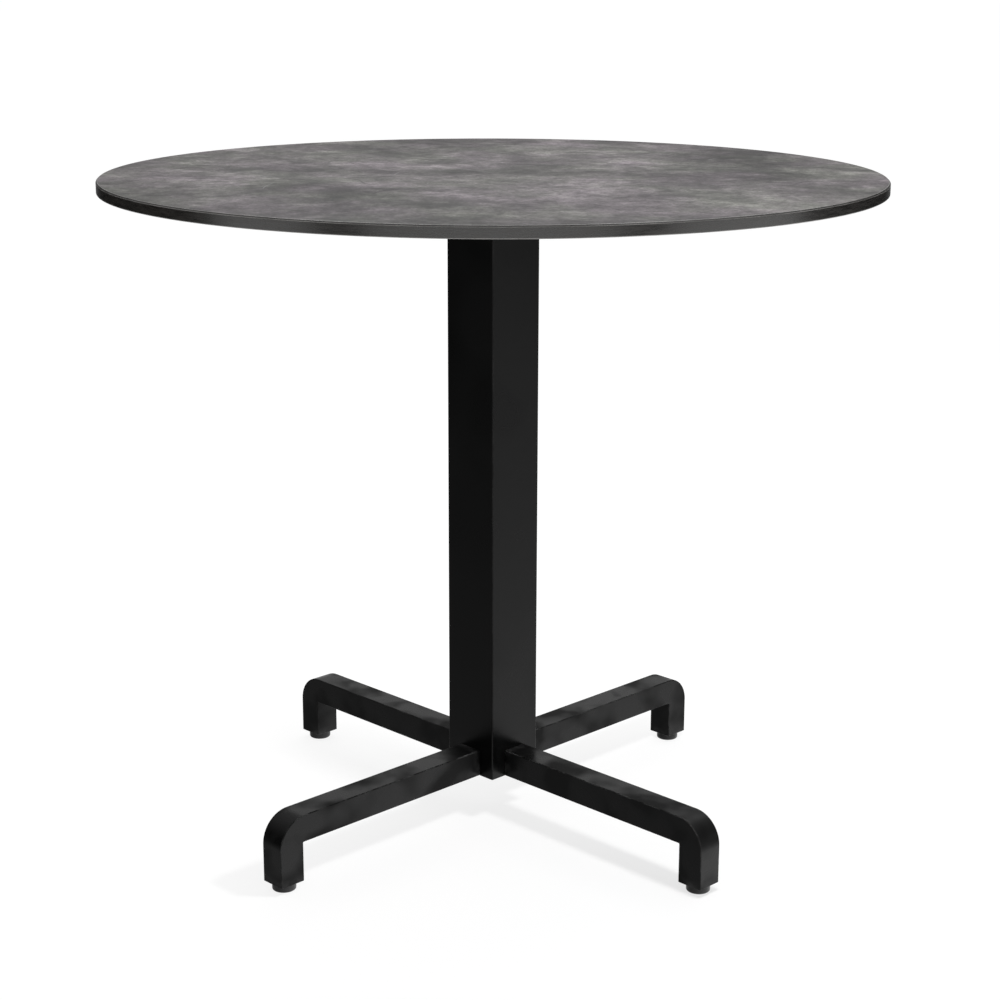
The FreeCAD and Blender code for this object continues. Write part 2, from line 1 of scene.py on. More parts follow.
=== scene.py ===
"""Looks of the bistro table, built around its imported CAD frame.

Every length is in metres, in the row frame: +Z up, origin on the floor under the column.
"""

import math

import bmesh
import bpy
from mathutils import Matrix, Vector


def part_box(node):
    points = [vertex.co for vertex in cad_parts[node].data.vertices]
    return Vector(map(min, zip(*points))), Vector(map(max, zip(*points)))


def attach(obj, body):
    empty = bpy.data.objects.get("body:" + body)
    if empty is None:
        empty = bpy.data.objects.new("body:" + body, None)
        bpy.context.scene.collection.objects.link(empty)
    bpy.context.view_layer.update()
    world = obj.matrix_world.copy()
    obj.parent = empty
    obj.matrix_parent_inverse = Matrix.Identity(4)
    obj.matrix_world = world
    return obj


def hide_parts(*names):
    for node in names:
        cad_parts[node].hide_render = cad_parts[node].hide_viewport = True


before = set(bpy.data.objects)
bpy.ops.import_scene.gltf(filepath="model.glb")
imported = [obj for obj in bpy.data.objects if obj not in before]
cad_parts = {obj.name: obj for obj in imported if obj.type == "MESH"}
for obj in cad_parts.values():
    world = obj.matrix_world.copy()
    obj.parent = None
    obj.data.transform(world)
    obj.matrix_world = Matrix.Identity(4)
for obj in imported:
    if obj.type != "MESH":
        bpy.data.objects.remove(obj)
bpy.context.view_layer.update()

MM = 0.001
FULL_TURN = 2 * math.pi

# Direction of each arm from +X. The column and the hub are turned with the arms.
ARM_ANGLES = {
    "front_left": math.radians(225),
    "front_right": math.radians(315),
    "back_left": math.radians(135),
    "back_right": math.radians(45),
}
DIAGONAL = math.radians(45)

# Sizes that the boxes of the CAD nodes don't show.
ARM_DEPTH = 31 * MM
LEG_DEPTH = 31 * MM
ELBOW_RADIUS = 33 * MM
ARM_EDGE = 1.2 * MM
ARM_END_EDGE = 0.4 * MM
CROOK_RADIUS = 0.8 * MM
TOP_ARRIS = 1.5 * MM
TOP_LOWER_ARRIS = 0.5 * MM
TOP_EDGE_ROUND = 0.4 * MM
COLUMN_CORNER = 1.5 * MM
COLUMN_WALL = 3 * MM
BORE_CORNER = 1 * MM
CUT_EDGE = 0.3 * MM
STUD_RADIUS = 4 * MM
STUD_FLANGE_THICKNESS = 3 * MM
STUD_FLANGE_RADIUS = 7 * MM
STUD_SOCKET_WIDTH = 5 * MM
STUD_SOCKET_DEPTH = 4 * MM
STUD_PITCH = 1.25 * MM
PAD_FLOOR = 2.8 * MM
PAD_ROUND = 2 * MM
KEY_HOLE_RADIUS = 3.5 * MM
RUNNING_GAP = 0.08 * MM
SCREW_RADIUS = 3 * MM
SCREW_HEAD_RADIUS = 5 * MM
SCREW_HEAD_HEIGHT = 6 * MM
SCREW_SOCKET_WIDTH = 5 * MM
SCREW_SOCKET_DEPTH = 3 * MM
SCREW_PITCH = 1 * MM
SCREW_CLEAR_RADIUS = 3.3 * MM
SCREW_TAP_RADIUS = 3.05 * MM
SCREW_WASHER_THICKNESS = 1.6 * MM
THREAD_DEPTH_SHARE = 0.54
CROSS_ARM_WIDTH = 40 * MM
CROSS_ARM_THICKNESS = 6 * MM
CROSS_PLATE = 10 * MM
CROSS_RIB_THICKNESS = 6 * MM
CROSS_RIB_DEPTH = 26 * MM
CROSS_TIP_RADIUS = 8 * MM
CROSS_SCREW_REACH = 235 * MM
CROSS_SCREW_SIDE = 12 * MM
CROSS_RIB_RUNOUT = 10 * MM
CROSS_RIB_GAP = 0.3 * MM
CROSS_EDGE = 0.6 * MM
SPIGOT_WALL = 6 * MM
SPIGOT_WEB = 10 * MM
NUT_RECESS_DEPTH = 15 * MM
NUT_RECESS_RADIUS = 13 * MM
ROD_HOLE_RADIUS = 5.3 * MM
INSERT_HOLE_RADIUS = 4.55 * MM
INSERT_HOLE_DEPTH = 9.3 * MM
CAP_PLATE = 2 * MM
CAP_PEG_RADIUS = 2 * MM
CAP_PEG_INSET = 4 * MM
HUB_CORNER = 1.5 * MM

# How finely round shapes are divided, and which edges stay sharp.
CORNER_STEPS = 6
EASE_STEPS = 3
ROUND_POINTS = 48
THREAD_POINTS = 24
THREAD_ROWS = 8
COLUMN_STEPS = 12
ARM_STEPS = 24
ELBOW_STEPS = 20
LEG_STEPS = 5
FACE_CELLS = 90
MERGE_DISTANCE = 1e-6
SHARP_ANGLE = math.radians(32)
# Edges bending by more than these angles are marked, from not at all to fully, for rubbing and
# painted highlights.
EDGE_MARK_START_ANGLE = math.radians(9)
EDGE_MARK_FULL_ANGLE = math.radians(14)
EDGE_ATTRIBUTE = "edge"


# --- measuring the frame ------------------------------------------------------------------

def turned_box(node, angle):
    """Lowest and highest corners of a CAD node after it is turned by -angle about Z."""
    turn = Matrix.Rotation(-angle, 3, "Z")
    points = [turn @ vertex.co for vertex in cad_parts[node].data.vertices]
    low = Vector([min(point[axis] for point in points) for axis in range(3)])
    high = Vector([max(point[axis] for point in points) for axis in range(3)])
    return low, high


# --- mesh building ------------------------------------------------------------------------

def round_outline(radius):
    """A circle's radius at every angle."""
    return lambda angle: radius


def hexagon_outline(width):
    """A hexagon's radius at an angle, with a corner at angle 0."""
    sixth = FULL_TURN / 6
    return lambda angle: width / 2 / math.cos(angle % sixth - sixth / 2)


def thread_outline(radius, pitch, height, depth):
    """A right-hand thread's radius at an angle, for one height."""
    def outline(angle):
        phase = FULL_TURN * height / pitch - angle
        return radius - depth * (1 - math.cos(phase)) / 2
    return outline


def ring(outline, height, count=ROUND_POINTS):
    """Points around Z at one height, at a radius given by an outline."""
    angles = [FULL_TURN * step / count for step in range(count)]
    return [Vector((outline(a) * math.cos(a), outline(a) * math.sin(a), height)) for a in angles]


def rounded_square(half, corner, height):
    """Points around a square with rounded corners, at one height."""
    points = []
    for quarter in range(4):
        start = quarter * FULL_TURN / 4
        turn = Matrix.Rotation(start, 3, "Z")
        middle = Vector((half - corner, half - corner, 0))
        for step in range(CORNER_STEPS + 1):
            a = FULL_TURN / 4 * step / CORNER_STEPS
            points.append(turn @ (middle + corner * Vector((math.cos(a), math.sin(a), 0))))
    return [Vector((point.x, point.y, height)) for point in points]


def add_bands(mesh, rings, closed=False, material=0):
    """Join rings of points by quads, and the last to the first when closed."""
    rows = [[mesh.verts.new(point) for point in points] for points in rings]
    for row, following in zip(rows, rows[1:] + rows[:1] if closed else rows[1:]):
        for i in range(len(row)):
            j = (i + 1) % len(row)
            face = mesh.faces.new((row[i], row[j], following[j], following[i]))
            face.material_index = material
    return rows


def loft(mesh, rings, closed=False):
    """Join rings of points by quads. Open ends are capped."""
    rows = add_bands(mesh, rings, closed)
    if not closed:
        mesh.faces.new(rows[0])
        mesh.faces.new(rows[-1])


def eased(profile, radius):
    """A profile with its inner corners rounded."""
    corners = [Vector(point) for point in profile]
    points = [corners[0]]
    for before, corner, after in zip(corners, corners[1:], corners[2:]):
        start = corner + radius * (before - corner).normalized()
        end = corner + radius * (after - corner).normalized()
        for step in range(EASE_STEPS + 1):
            t = step / EASE_STEPS
            points.append(start * (1 - t) ** 2 + corner * 2 * t * (1 - t) + end * t * t)
    return points + [corners[-1]]


def add_box(mesh, low, high, turn=0):
    """A plain box between two corners, turned about Z. Booleans join it to other shapes."""
    corners = [(low[0], low[1]), (high[0], low[1]), (high[0], high[1]), (low[0], high[1])]
    rotation = Matrix.Rotation(turn, 3, "Z")
    loft(mesh, [[rotation @ Vector((x, y, z)) for x, y in corners] for z in (low[2], high[2])])


def moved(points, matrix):
    """Rings of points moved by a matrix."""
    return [[matrix @ point for point in row] for row in points]


def across(direction_angle, height):
    """A matrix that lays the Z axis along a level direction, at a height."""
    turn = Matrix.Rotation(direction_angle, 4, "Z") @ Matrix.Rotation(FULL_TURN / 4, 4, "Y")
    return Matrix.Translation((0, 0, height)) @ turn


def tidy(mesh):
    """Merge coincident points, turn faces outward and set smooth and sharp edges."""
    bmesh.ops.remove_doubles(mesh, verts=mesh.verts, dist=MERGE_DISTANCE)
    bmesh.ops.recalc_face_normals(mesh, faces=mesh.faces)
    for face in mesh.faces:
        face.smooth = True
    # Each point's edge attribute runs from 0 on flats to 1 on rounded edges; materials lighten
    # these edges, as rubbing and scuffs and as a painted highlight.
    wear_and_highlight_mask = mesh.verts.layers.float.get(EDGE_ATTRIBUTE)
    if wear_and_highlight_mask is None:
        wear_and_highlight_mask = mesh.verts.layers.float.new(EDGE_ATTRIBUTE)
    for vertex in mesh.verts:
        vertex[wear_and_highlight_mask] = 0
    for edge in mesh.edges:
        angle = edge.calc_face_angle_signed(0)
        edge.smooth = abs(angle) < SHARP_ANGLE
        share = (angle - EDGE_MARK_START_ANGLE) / (EDGE_MARK_FULL_ANGLE - EDGE_MARK_START_ANGLE)
        for vertex in edge.verts:
            vertex[wear_and_highlight_mask] = max(vertex[wear_and_highlight_mask], min(1, share))


def to_mesh(source, name):
    """A Blender mesh from a bmesh, which is freed."""
    tidy(source)
    mesh = bpy.data.meshes.new(name)
    source.to_mesh(mesh)
    source.free()
    return mesh


def combine(base, tool, operation):
    """A new bmesh from the boolean of two bmeshes. Both are freed."""
    holders = []
    for source in (base, tool):
        bmesh.ops.recalc_face_normals(source, faces=source.faces)
        mesh = bpy.data.meshes.new("boolean")
        source.to_mesh(mesh)
        source.free()
        holder = bpy.data.objects.new("boolean", mesh)
        bpy.context.scene.collection.objects.link(holder)
        holders.append(holder)
    modifier = holders[0].modifiers.new("boolean", "BOOLEAN")
    modifier.operation = operation
    modifier.solver = "EXACT"
    modifier.object = holders[1]
    evaluated = holders[0].evaluated_get(bpy.context.evaluated_depsgraph_get())
    result = bmesh.new()
    result.from_mesh(evaluated.to_mesh())
    evaluated.to_mesh_clear()
    for holder in holders:
        mesh = holder.data
        bpy.data.objects.remove(holder)
        bpy.data.meshes.remove(mesh)
    return result


def add_piece(name, source, body, materials, bevel=0):
    """Make a piece of a bmesh that stands for the CAD node of the same purpose."""
    piece = bpy.data.objects.new(f"{name}_shape", to_mesh(source, name))
    bpy.context.scene.collection.objects.link(piece)
    for material in materials:
        piece.data.materials.append(material)
    if bevel:
        rounding = piece.modifiers.new("rounding", "BEVEL")
        rounding.width = bevel
        rounding.segments = 3
        rounding.limit_method = "ANGLE"
        rounding.angle_limit = SHARP_ANGLE
        rounding.harden_normals = False
    normals = piece.modifiers.new("normals", "WEIGHTED_NORMAL")
    normals.keep_sharp = True
    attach(piece, body)
    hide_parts(name)
    return piece


# --- materials ----------------------------------------------------------------------------

STONE_GREEN = (0.133, 0.132, 0.121, 1)
STONE_VIOLET = (0.15, 0.133, 0.142, 1)
ZINC_BLUE = (0.56, 0.58, 0.61, 1)
ZINC_YELLOW = (0.62, 0.61, 0.56, 1)
BRASS_DULL = (0.62, 0.45, 0.19, 1)
BRASS_BRIGHT = (0.74, 0.57, 0.28, 1)

class Nodes:
    """A node tree, with one short call for each kind of node that is used here."""

    def __init__(self, tree):
        self.tree = tree
        self.tree.nodes.clear()

    def plug(self, socket, value):
        """Set an input to a number or colour, or link it to another node's output."""
        if isinstance(value, bpy.types.NodeSocket):
            self.tree.links.new(value, socket)
        else:
            socket.default_value = value

    def spread(self, value, low, high, out_low=0, out_high=1):
        """A value's range from low to high, mapped to another and held inside it."""
        node = self.tree.nodes.new("ShaderNodeMapRange")
        self.plug(node.inputs["Value"], value)
        bounds = ("From Min", low), ("From Max", high), ("To Min", out_low), ("To Max", out_high)
        for name, number in bounds:
            node.inputs[name].default_value = number
        return node.outputs["Result"]

    def math(self, operation, first, second=0):
        """A sum, product or other operation on two values."""
        node = self.tree.nodes.new("ShaderNodeMath")
        node.operation = operation
        self.plug(node.inputs[0], first)
        self.plug(node.inputs[1], second)
        return node.outputs["Value"]


class Finish(Nodes):
    """The nodes of a surface's material."""

    def __init__(self, name, **values):
        self.material = bpy.data.materials.new(name)
        self.material.use_nodes = True
        super().__init__(self.material.node_tree)
        self.shader = self.tree.nodes.new("ShaderNodeBsdfPrincipled")
        output = self.tree.nodes.new("ShaderNodeOutputMaterial")
        self.plug(output.inputs["Surface"], self.shader.outputs["BSDF"])
        self.place = self.tree.nodes.new("ShaderNodeTexCoord").outputs["Object"]
        for socket, value in values.items():
            self.shader.inputs[socket.replace("_", " ")].default_value = value

    def set(self, name, value):
        """Drive one of the shader's inputs."""
        self.plug(self.shader.inputs[name], value)

    def stretched(self, x, y, z):
        """The object's coordinates, scaled along each axis."""
        node = self.tree.nodes.new("ShaderNodeMapping")
        node.inputs["Scale"].default_value = (x, y, z)
        self.plug(node.inputs["Vector"], self.place)
        return node.outputs["Vector"]

    def noise(self, size, detail=4, roughness=0.55, distortion=0, place=None, seed=0):
        """Noise from 0 to 1 whose features are about `size` metres across."""
        node = self.tree.nodes.new("ShaderNodeTexNoise")
        node.noise_dimensions = "4D"
        node.inputs["W"].default_value = seed
        node.inputs["Scale"].default_value = 1 / size
        node.inputs["Detail"].default_value = detail
        node.inputs["Roughness"].default_value = roughness
        node.inputs["Distortion"].default_value = distortion
        self.plug(node.inputs["Vector"], place or self.place)
        return node.outputs["Fac"]

    def cells(self, size, seed=0):
        """Distance to the nearest point of a scatter about `size` metres apart."""
        node = self.tree.nodes.new("ShaderNodeTexVoronoi")
        node.voronoi_dimensions = "4D"
        node.inputs["W"].default_value = seed
        node.inputs["Scale"].default_value = 1 / size
        self.plug(node.inputs["Vector"], self.place)
        return node.outputs["Distance"]

    def mix(self, factor, first, second, blend="MIX"):
        """Two colours mixed by a factor."""
        node = self.tree.nodes.new("ShaderNodeMix")
        node.data_type = "RGBA"
        node.blend_type = blend
        self.plug(node.inputs["Factor"], factor)
        for socket, value in ((node.inputs["A"], first), (node.inputs["B"], second)):
            colours = [s for s in node.inputs if s.name == socket.name and s.type == "RGBA"]
            self.plug(colours[0], value)
        return next(s for s in node.outputs if s.type == "RGBA")

    def attribute(self, name):
        """A number kept on the mesh's points."""
        node = self.tree.nodes.new("ShaderNodeAttribute")
        node.attribute_name = name
        return node.outputs["Fac"]

    def bump(self, height, depth, strength=1):
        """Relief of a given depth in metres, added to what is there already."""
        node = self.tree.nodes.new("ShaderNodeBump")
        node.inputs["Strength"].default_value = strength
        node.inputs["Distance"].default_value = depth
        self.plug(node.inputs["Height"], height)
        earlier = self.shader.inputs["Normal"].links
        if earlier:
            self.plug(node.inputs["Normal"], earlier[0].from_socket)
        self.set("Normal", node.outputs["Normal"])


def grey(level, warm=0):
    """A grey with an opaque alpha, shifted slightly towards yellow."""
    return (level * (1 + warm), level, level * (1 - warm), 1)


def make_decor():
    """Matt stone-look decor: clouds in two tints, dark veins, grain and hairline scratches."""
    finish = Finish("stone_decor", Specular_IOR_Level=0.1)
    clouds = finish.noise(0.2, detail=6, roughness=0.62, distortion=0.6, seed=1)
    patches = finish.noise(0.07, detail=7, roughness=0.66, distortion=0.9, seed=2)
    tints = finish.noise(0.11, detail=5, roughness=0.6, distortion=0.4, seed=3)
    flecks = finish.noise(0.014, detail=4, roughness=0.7, distortion=0.5, seed=12)
    grains = finish.noise(0.0032, detail=4, roughness=0.7, seed=4)
    colour = finish.mix(finish.spread(tints, 0.4, 0.6), STONE_GREEN, STONE_VIOLET)
    level = finish.spread(clouds, 0.36, 0.64, 0.4, 1.6)
    level = finish.math("MULTIPLY", level, finish.spread(patches, 0.36, 0.64, 0.52, 1.48))
    level = finish.math("MULTIPLY", level, finish.spread(flecks, 0.36, 0.64, 0.66, 1.34))
    level = finish.math("MULTIPLY", level, finish.spread(grains, 0.32, 0.68, 0.66, 1.34))

    def strokes(spacing, width, stretch, seed):
        """Lines where a smooth noise crosses its middle, kept only in some stretches."""
        sweep = finish.noise(spacing, detail=1, roughness=0.4, distortion=0.2, seed=seed)
        distance = finish.math("ABSOLUTE", finish.math("SUBTRACT", sweep, 0.5))
        line = finish.spread(distance, width * 0.4, width, 1, 0)
        kept = finish.spread(finish.noise(stretch, detail=2, seed=seed + 1), 0.56, 0.63)
        return finish.math("MULTIPLY", line, kept)

    veins = strokes(0.1, 0.014, 0.09, 5)
    level = finish.math("MULTIPLY", level, finish.spread(veins, 0, 1, 1, 0.62))
    shade = finish.tree.nodes.new("ShaderNodeCombineColor")
    for channel in range(3):
        finish.plug(shade.inputs[channel], level)
    colour = finish.mix(1, colour, shade.outputs["Color"], "MULTIPLY")
    scratches = finish.math("MAXIMUM", strokes(0.26, 0.0018, 0.045, 7),
                            strokes(0.2, 0.0018, 0.05, 9))
    colour = finish.mix(finish.math("MULTIPLY", scratches, 0.45), colour, grey(0.36))
    finish.set("Base Color", colour)
    finish.set("Roughness", finish.spread(patches, 0.3, 0.7, 0.44, 0.56))
    finish.bump(grains, 0.03 * MM)
    finish.bump(finish.noise(0.02, detail=3, seed=11), 0.05 * MM)
    return finish.material


def make_core():
    """The near-black edge of the laminate: faint layers, cloudy, with a painted highlight along
    its corners.
    """
    finish = Finish("laminate_core", Specular_IOR_Level=0.75)
    layers = finish.noise(0.02, detail=6, roughness=0.65, place=finish.stretched(1, 1, 10), seed=1)
    colour = finish.mix(finish.spread(layers, 0.34, 0.66), grey(0.011, 0.1), grey(0.034, 0.12))
    # Painted highlight: the rim's rounded corners turn light grey, standing in for the light they
    # catch.
    painted_highlight = finish.math("MULTIPLY", finish.attribute(EDGE_ATTRIBUTE),
                         finish.spread(finish.noise(0.05, detail=3, seed=2), 0.35, 0.6, 0.4, 1))
    finish.set("Base Color", finish.mix(painted_highlight, colour, grey(0.42, 0.03)))
    finish.set("Roughness", finish.spread(layers, 0.3, 0.7, 0.22, 0.34))
    finish.bump(layers, 0.03 * MM)
    return finish.material


def make_powder_coat(name, level, patch, contrast, gloss, rough, smooth, rubbing_and_highlight):
    """Satin black powder coat: orange peel, broad mottling, and edges lightened partly by rubbing
    and partly as a painted highlight.

    `patch` is the mottling's size, `contrast` its share of the level, `gloss` the specular
    level, `rough` and `smooth` its two roughnesses, and the last argument how far edges are
    lightened, as rubbing and as a painted highlight.
    """
    finish = Finish(name, Specular_IOR_Level=gloss)
    mottle = finish.noise(patch, detail=2, roughness=0.5, distortion=0.2, seed=1)
    dark = grey(level * (1 - contrast))
    light = grey(level * (1 + contrast))
    colour = finish.mix(finish.spread(mottle, 0.35, 0.65), dark, light)
    # Rounded edges turn lighter grey: partly rubbing, partly a painted highlight.
    wear_and_highlight_mask = finish.math("MULTIPLY", finish.attribute(EDGE_ATTRIBUTE),
                       finish.spread(finish.noise(0.02, seed=2), 0.42, 0.7, 0, rubbing_and_highlight))
    finish.set("Base Color", finish.mix(wear_and_highlight_mask, colour, grey(0.07)))
    finish.set("Roughness", finish.spread(mottle, 0.4, 0.6, rough, smooth))
    finish.bump(finish.noise(0.0016, detail=1, seed=3), 0.02 * MM)
    finish.bump(finish.noise(0.012, detail=2, seed=4), 0.04 * MM)
    return finish.material


def make_cast(name, level, roughness, metallic=0):
    """A sand-textured casting, painted or bare."""
    finish = Finish(name, Metallic=metallic)
    sand = finish.noise(0.0011, detail=3, roughness=0.6, seed=1)
    broad = finish.noise(0.03, detail=4, seed=2)
    colour = finish.mix(finish.spread(broad, 0.3, 0.7), grey(level * 0.85), grey(level * 1.15))
    # Painted shade: the sand's hollows, where the bump is low, are darker.
    pits = finish.spread(sand, 0.28, 0.42, 0.7, 0)
    finish.set("Base Color", finish.mix(pits, colour, grey(level * 0.5)))
    finish.set("Roughness", finish.spread(sand, 0.3, 0.7, roughness, roughness - 0.12))
    finish.bump(sand, 0.08 * MM)
    finish.bump(broad, 0.15 * MM)
    return finish.material


def make_zinc():
    """Bright zinc plate with a faint blue and yellow cast and fine turning marks."""
    finish = Finish("zinc_plate", Metallic=1)
    cast = finish.noise(0.006, detail=3, seed=1)
    colour = finish.mix(finish.spread(cast, 0.35, 0.65), ZINC_BLUE, ZINC_YELLOW)
    marks = finish.noise(0.0009, detail=2, place=finish.stretched(1, 1, 6), seed=2)
    marked = finish.spread(marks, 0.3, 0.7, 0, 0.25)
    finish.set("Base Color", finish.mix(marked, colour, grey(0.42)))
    finish.set("Roughness", finish.spread(marks, 0.3, 0.7, 0.24, 0.4))
    finish.bump(marks, 0.01 * MM)
    return finish.material


def make_brass():
    """Turned brass with a dull film."""
    finish = Finish("turned_brass", Metallic=1)
    film = finish.noise(0.004, detail=4, seed=1)
    colour = finish.mix(finish.spread(film, 0.35, 0.65), BRASS_DULL, BRASS_BRIGHT)
    finish.set("Base Color", colour)
    finish.set("Roughness", finish.spread(film, 0.3, 0.7, 0.25, 0.45))
    finish.bump(finish.noise(0.0006, place=finish.stretched(1, 1, 8), seed=2), 0.01 * MM)
    return finish.material


def make_moulded(name, level, grain, roughness):
    """Black moulded plastic with a fine grained surface."""
    finish = Finish(name, Specular_IOR_Level=0.45)
    texture = finish.cells(grain)
    tone = finish.noise(0.012, detail=3, seed=1)
    scuffs = finish.math("MULTIPLY", finish.attribute(EDGE_ATTRIBUTE),
                         finish.spread(finish.noise(0.003, seed=2), 0.5, 0.75, 0, 0.4))
    colour = finish.mix(finish.spread(tone, 0.35, 0.65), grey(level * 0.8), grey(level * 1.2))
    finish.set("Base Color", finish.mix(scuffs, colour, grey(level * 4)))
    finish.set("Roughness", finish.spread(tone, 0.3, 0.7, roughness + 0.06, roughness - 0.06))
    finish.bump(texture, 0.02 * MM)
    return finish.material


decor = make_decor()
core = make_core()
column_coat = make_powder_coat("column_coat", 0.0016, 0.12, 0.25, 0.18, 0.38, 0.27, 0.08)
arm_coat = make_powder_coat("arm_coat", 0.003, 0.05, 0.6, 0.21, 0.66, 0.24, 0.6)
cross_coat = make_cast("cross_coat", 0.018, 0.55)
bare_casting = make_cast("bare_casting", 0.45, 0.5, metallic=1)
zinc = make_zinc()
brass = make_brass()
cap_plastic = make_moulded("cap_plastic", 0.016, 0.0008, 0.5)
pad_plastic = make_moulded("pad_plastic", 0.012, 0.0011, 0.38)

NODE_FINISHES = {
    "top_inserts": brass,
    "hub_block": bare_casting,
    "tie_rod": zinc,
    "tie_rod_upper_nut": zinc,
    "tie_rod_upper_washer": zinc,
    "tie_rod_lower_nut": zinc,
    "tie_rod_lower_washer": zinc,
}


# --- the top ------------------------------------------------------------------------------

def add_disc_face(mesh, radius, height):
    """A flat disc of nearly even quads, from a square grid mapped to a circle."""
    rows = []
    for i in range(FACE_CELLS + 1):
        row = []
        for j in range(FACE_CELLS + 1):
            u, v = 2 * i / FACE_CELLS - 1, 2 * j / FACE_CELLS - 1
            if u == v == 0:
                reach, angle = 0, 0
            elif abs(u) >= abs(v):
                reach, angle = u, DIAGONAL * v / u
            else:
                reach, angle = v, 2 * DIAGONAL - DIAGONAL * u / v
            reach *= radius
            row.append(mesh.verts.new((reach * math.cos(angle), reach * math.sin(angle), height)))
        rows.append(row)
    for i in range(FACE_CELLS):
        for j in range(FACE_CELLS):
            mesh.faces.new((rows[i][j], rows[i + 1][j], rows[i + 1][j + 1], rows[i][j + 1]))


def add_rim(mesh, radius, low, high):
    """The edge of the disc between its two faces, with softened chamfers."""
    profile = [(radius - TOP_ARRIS - TOP_EDGE_ROUND, high), (radius - TOP_ARRIS, high),
               (radius, high - TOP_ARRIS), (radius, (low + high) / 2),
               (radius, low + TOP_LOWER_ARRIS),
               (radius - TOP_LOWER_ARRIS, low), (radius - TOP_ARRIS - TOP_EDGE_ROUND, low)]
    rings = [ring(round_outline(reach), height, 4 * FACE_CELLS)
             for reach, height in eased(profile, TOP_EDGE_ROUND)]
    add_bands(mesh, rings, material=1)


def screw_places():
    """Where the cross is screwed to the top: a pair near the tip of each arm."""
    places = []
    for angle in ARM_ANGLES.values():
        turn = Matrix.Rotation(angle, 3, "Z")
        for side in (1, -1):
            places.append(turn @ Vector((CROSS_SCREW_REACH, side * CROSS_SCREW_SIDE, 0)))
    return places


def add_rods(mesh, places, radius, low, high):
    """Upright cylinders at several places, to cut holes with."""
    for place in places:
        rings = [ring(round_outline(radius), height) for height in (low, high)]
        loft(mesh, moved(rings, Matrix.Translation((place.x, place.y, 0))))


def make_table_top():
    """The laminate disc: decor on both faces, dark core at the rim."""
    low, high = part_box("table_top")
    radius = min(-low.x, -low.y, high.x, high.y)
    mesh = bmesh.new()
    for height in (low.z, high.z):
        add_disc_face(mesh, radius - TOP_ARRIS - TOP_EDGE_ROUND, height)
    add_rim(mesh, radius, low.z, high.z)
    bmesh.ops.remove_doubles(mesh, verts=mesh.verts, dist=MERGE_DISTANCE)
    holes = bmesh.new()
    add_rods(holes, screw_places(), INSERT_HOLE_RADIUS, low.z - MM, low.z + INSERT_HOLE_DEPTH)
    mesh = combine(mesh, holes, "DIFFERENCE")
    add_piece("table_top", mesh, "frame", [decor, core])


# --- the cross under the top --------------------------------------------------------------

def tip_rounded_arm(reach, half_width, corner):
    """Outline of one cross arm seen from above, with rounded tip corners."""
    points = [Vector((0, half_width, 0))]
    for side in (1, -1):
        middle = Vector((reach - corner, side * (half_width - corner), 0))
        for step in range(CORNER_STEPS + 1):
            a = FULL_TURN / 4 * (step / CORNER_STEPS if side < 0 else 1 - step / CORNER_STEPS)
            points.append(middle + corner * Vector((math.cos(a), side * math.sin(a), 0)))
    points.append(Vector((0, -half_width, 0)))
    return points


def make_top_cross():
    """The casting: arms and ribs, a square plate and the spigot, joined and rounded."""
    low, high = turned_box("top_cross", DIAGONAL)
    top = high.z
    plate_half = turned_box("column", DIAGONAL)[1].x
    spigot_half = turned_box("hub_block", DIAGONAL)[1].x
    mesh = bmesh.new()
    add_box(mesh, (-plate_half, -plate_half, top - CROSS_PLATE), (plate_half, plate_half, top),
            DIAGONAL)
    for angle in ARM_ANGLES.values():
        turn = Matrix.Rotation(angle, 4, "Z")
        arm = bmesh.new()
        outline = tip_rounded_arm(high.x, CROSS_ARM_WIDTH / 2, CROSS_TIP_RADIUS)
        levels = (top - CROSS_ARM_THICKNESS, top)
        rings = [[Vector((point.x, point.y, level)) for point in outline] for level in levels]
        loft(arm, moved(rings, turn))
        mesh = combine(mesh, arm, "UNION")
        rib = bmesh.new()
        start = plate_half + CROSS_RIB_GAP
        end = CROSS_SCREW_REACH - CROSS_RIB_RUNOUT
        side_view = [(start, top - CROSS_ARM_THICKNESS / 2), (start, top - CROSS_RIB_DEPTH),
                     (end, top - CROSS_ARM_THICKNESS), (end, top - CROSS_ARM_THICKNESS / 2)]
        rings = [[Vector((x, side * CROSS_RIB_THICKNESS / 2, z)) for x, z in side_view]
                 for side in (-1, 1)]
        loft(rib, moved(rings, turn))
        mesh = combine(mesh, rib, "UNION")
    spigot = bmesh.new()
    add_box(spigot, (-spigot_half, -spigot_half, low.z), (spigot_half, spigot_half, top - MM),
            DIAGONAL)
    mesh = combine(mesh, spigot, "UNION")

    cuts = bmesh.new()
    add_rods(cuts, screw_places(), SCREW_CLEAR_RADIUS, top - 2 * CROSS_ARM_THICKNESS, top + MM)
    middle = [Vector((0, 0, 0))]
    add_rods(cuts, middle, NUT_RECESS_RADIUS, top - NUT_RECESS_DEPTH, top + MM)
    mesh = combine(mesh, cuts, "DIFFERENCE")
    rod_hole = bmesh.new()
    add_rods(rod_hole, middle, ROD_HOLE_RADIUS, low.z - MM, top + MM)
    mesh = combine(mesh, rod_hole, "DIFFERENCE")
    hollow = bmesh.new()
    hollow_half = spigot_half - SPIGOT_WALL
    hollow_top = top - NUT_RECESS_DEPTH - SPIGOT_WEB
    add_box(hollow, (-hollow_half, -hollow_half, low.z - MM),
            (hollow_half, hollow_half, hollow_top), DIAGONAL)
    mesh = combine(mesh, hollow, "DIFFERENCE")
    bmesh.ops.dissolve_limit(mesh, angle_limit=math.radians(1), verts=mesh.verts,
                             edges=mesh.edges)
    add_piece("top_cross", mesh, "frame", [cross_coat], bevel=CROSS_EDGE)


# --- screws, washers and studs --------------------------------------------------------------

